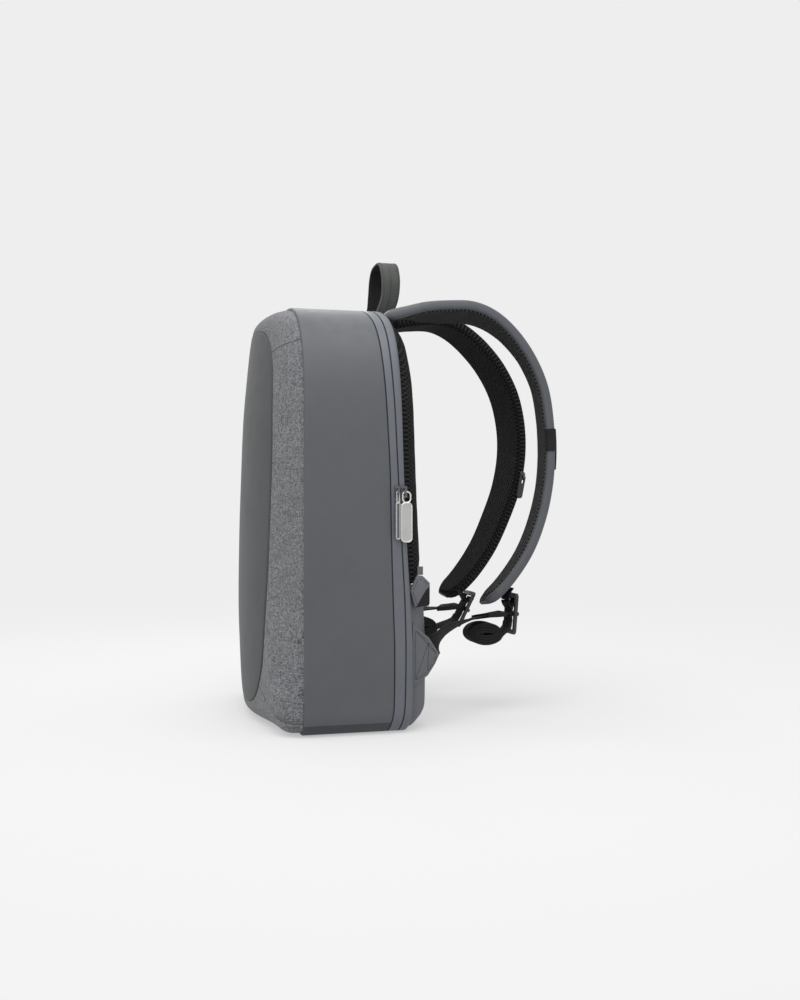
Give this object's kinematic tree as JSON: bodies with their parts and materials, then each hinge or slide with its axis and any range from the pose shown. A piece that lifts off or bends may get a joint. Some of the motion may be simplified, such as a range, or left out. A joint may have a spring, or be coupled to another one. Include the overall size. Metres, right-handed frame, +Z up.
{
  "type": "anti theft backpack",
  "caption": "Upright grey backpack with a domed front panel, cloth surround, rear zip, top handle and padded shoulder straps.",
  "frame": {"origin": "centre of the base panel on the floor, midway between the sides", "axes": "+Z up towards the handle, +Y towards the back panel and straps, +X towards the side with the zip pullers"},
  "size_m": [0.3092, 0.3586, 0.5149],
  "materials": {
    "slate_synthetic": "smooth matt coated synthetic, slate grey",
    "dark_synthetic": "smooth matt coated synthetic, darker slate grey",
    "panel_synthetic": "smooth matt coated synthetic, warm grey",
    "band_synthetic": "smooth coated synthetic, bluish grey",
    "strap_synthetic": "smooth matt coated synthetic, mid grey",
    "heather_cloth": "two-tone woven cloth",
    "spacer_mesh": "black knitted spacer mesh",
    "grey_webbing": "dark grey ribbed webbing",
    "black_webbing": "black ribbed webbing",
    "black_plastic": "moulded, fine grain",
    "satin_silver": "satin silver",
    "gunmetal": "dark nickel"
  },
  "bodies": {
    "bag": {"main_shell": "slate_synthetic", "base_panel": "dark_synthetic", "front_fabric": "heather_cloth", "front_panel": "panel_synthetic", "zip_cover_band": "band_synthetic", "rear_rim": "band_synthetic", "back_pad": "spacer_mesh", "lumbar_block": "dark_synthetic", "top_handle": "grey_webbing", "strap_outer_right": "strap_synthetic", "strap_mesh_right": "spacer_mesh", "strap_outer_left": "strap_synthetic", "strap_mesh_left": "spacer_mesh", "strap_elastic": "black_webbing", "strap_elastic_tail": "black_webbing", "ladder_buckle_right": "black_plastic", "ladder_buckle_left": "black_plastic", "end_webbing_right": "black_webbing", "end_webbing_left": "black_webbing", "lower_webbing_right": "black_webbing", "lower_webbing_left": "black_webbing", "keeper_right": "black_webbing", "keeper_left": "black_webbing", "webbing_roll_right": "black_webbing", "webbing_roll_left": "black_webbing", "wing_tab_right": "dark_synthetic", "wing_tab_left": "dark_synthetic", "side_tab": "dark_synthetic", "side_tab_slider": "gunmetal", "zip_slider_front": "gunmetal", "zip_slider_rear": "gunmetal", "pocket_slider": "gunmetal"},
    "front_puller": {"zip_puller_front": "satin_silver"},
    "rear_puller": {"zip_puller_rear": "satin_silver"},
    "pocket_puller": {"pocket_puller": "black_plastic"}
  },
  "joints": [
    {"name": "front_puller_swing", "type": "hinge", "parent": "bag", "child": "front_puller", "pos_m": [0.155, 0.0624, 0.249], "axis": [0, -1, 0], "range_deg": [0, 165]},
    {"name": "rear_puller_swing", "type": "hinge", "parent": "bag", "child": "rear_puller", "pos_m": [0.155, 0.0695, 0.249], "axis": [0, -1, 0], "range_deg": [0, 165]},
    {"name": "pocket_puller_swing", "type": "hinge", "parent": "bag", "child": "pocket_puller", "pos_m": [-0.02573, 0.2689, 0.27034], "axis": [0.2079, -0.9598, 0.1885], "range_deg": [0, 165]}
  ]
}
